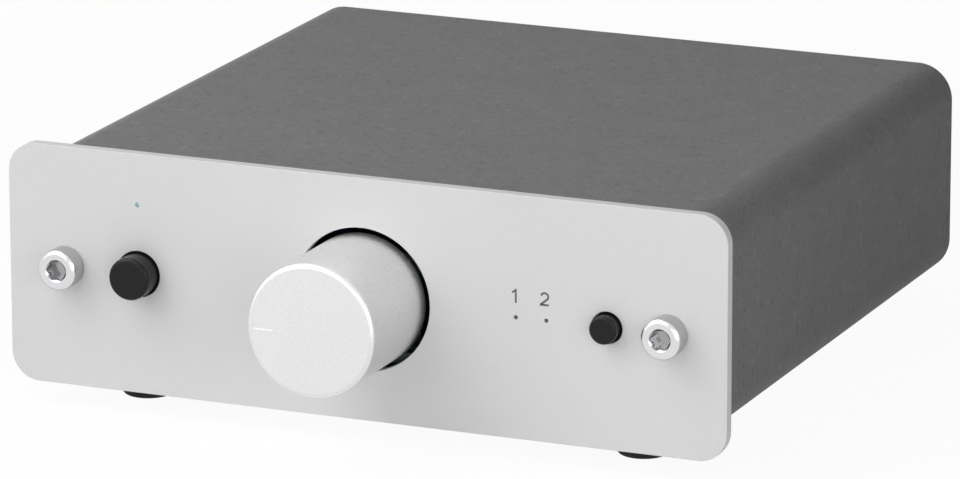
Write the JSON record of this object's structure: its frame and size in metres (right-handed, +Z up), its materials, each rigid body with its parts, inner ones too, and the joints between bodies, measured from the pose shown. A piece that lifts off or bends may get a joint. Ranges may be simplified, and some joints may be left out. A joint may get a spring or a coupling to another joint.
{
  "type": "phono preamp",
  "caption": "Compact phono preamp: extruded case between flat panels, turning gain knob, sliding power and selector push buttons, rear sockets and a ground post with a thumb nut.",
  "frame": {"origin": "on the surface that the feet stand on, under the middle of the overall width and length", "axes": "+Z up, the front panel faces -Y, +X to the right as seen from the front"},
  "size_m": [0.103, 0.119, 0.036],
  "materials": {
    "panel_aluminium": "satin anodised, natural",
    "case_coating": "fine-textured dark grey powder coat",
    "plated_screw": "bright nickel plate",
    "foot_rubber": "matt black rubber",
    "knob_aluminium": "fine bead-blasted and anodised, natural",
    "black_moulding": "moulded black plastic",
    "bright_steel": "nickel-plated steel",
    "brown_board": "pressed resin board",
    "button_plastic": "moulded black plastic with a soft gloss",
    "white_moulding": "moulded white plastic",
    "dark_moulding": "moulded dark grey plastic",
    "spring_steel": "drawn spring wire",
    "blue_lens": "tinted clear lens",
    "red_lens": "tinted clear lens, dark when off",
    "tinned_wire": "tinned wire",
    "green_board": "solder-masked circuit board",
    "gold_plating": "thin gold plate",
    "red_moulding": "moulded red plastic",
    "capacitor_sleeve": "shrunk plastic sleeve",
    "film_case": "moulded box",
    "chip_resin": "moulded resin",
    "relay_case": "moulded cover",
    "crystal_can": "pressed can"
  },
  "bodies": {
    "chassis": {"front_panel": "panel_aluminium", "case_sleeve": "case_coating", "rear_panel": "case_coating", "front_screws": "plated_screw", "rear_screws": "plated_screw", "rubber_feet": "foot_rubber", "pot_frame": "bright_steel", "pot_body": "brown_board", "power_switch": "dark_moulding", "power_spring": "spring_steel", "selector_switch": "dark_moulding", "selector_spring": "spring_steel", "power_light": "blue_lens", "power_light_leads": "tinned_wire", "selector_lights": "red_lens", "selector_light_leads": "tinned_wire", "main_board": "green_board", "input_housing": "black_moulding", "output_housing": "black_moulding", "input_barrels": "gold_plating", "output_barrels": "gold_plating", "left_insulators": "white_moulding", "right_insulators": "red_moulding", "centre_contacts": "gold_plating", "ground_post": "bright_steel", "ground_locknut": "bright_steel", "usb_shell": "bright_steel", "usb_core": "white_moulding", "usb_contacts": "gold_plating", "supply_socket": "black_moulding", "supply_pin": "bright_steel", "supply_spring": "spring_steel", "reservoir_capacitors": "capacitor_sleeve", "coupling_capacitors": "capacitor_sleeve", "film_capacitors": "film_case", "amplifier_chips": "chip_resin", "converter_chip": "chip_resin", "relays": "relay_case", "voltage_regulator": "chip_resin", "clock_crystal": "crystal_can", "chip_resistors": "chip_resin"},
    "knob": {"gain_knob": "knob_aluminium", "knob_insert": "black_moulding", "pot_shaft": "bright_steel"},
    "power_key": {"power_button": "button_plastic", "power_slider": "white_moulding"},
    "selector_key": {"selector_button": "button_plastic", "selector_slider": "white_moulding"},
    "clamp_washer": {"ground_washer": "bright_steel"},
    "clamp_nut": {"ground_thumb_nut": "gold_plating"}
  },
  "joints": [
    {"name": "gain_turn", "type": "hinge", "parent": "chassis", "child": "knob", "pos_m": [0, -0.04305, 0.0195], "axis": [0, 1, 0], "range_deg": [-60, 240]},
    {"name": "power_press", "type": "slide", "parent": "chassis", "child": "power_key", "axis": [0, 1, 0], "range_m": [0, 0.0022], "stiffness_N_per_m": 600, "springref_m": -0.001, "deforming": ["power_spring"]},
    {"name": "selector_press", "type": "slide", "parent": "chassis", "child": "selector_key", "axis": [0, 1, 0], "range_m": [0, 0.001], "stiffness_N_per_m": 800, "springref_m": -0.0005, "deforming": ["selector_spring"]},
    {"name": "washer_travel", "type": "slide", "parent": "chassis", "child": "clamp_washer", "axis": [0, 1, 0], "range_m": [0, 0.00141]},
    {"name": "thumb_turn", "type": "hinge", "parent": "clamp_washer", "child": "clamp_nut", "pos_m": [-0.0345, 0.05055, 0.0195], "axis": [0, 1, 0], "range_deg": [0, 720]}
  ],
  "couplings": [
    {"joint": "washer_travel", "follows": "thumb_turn", "m_per_rad": 0.00011141}
  ]
}
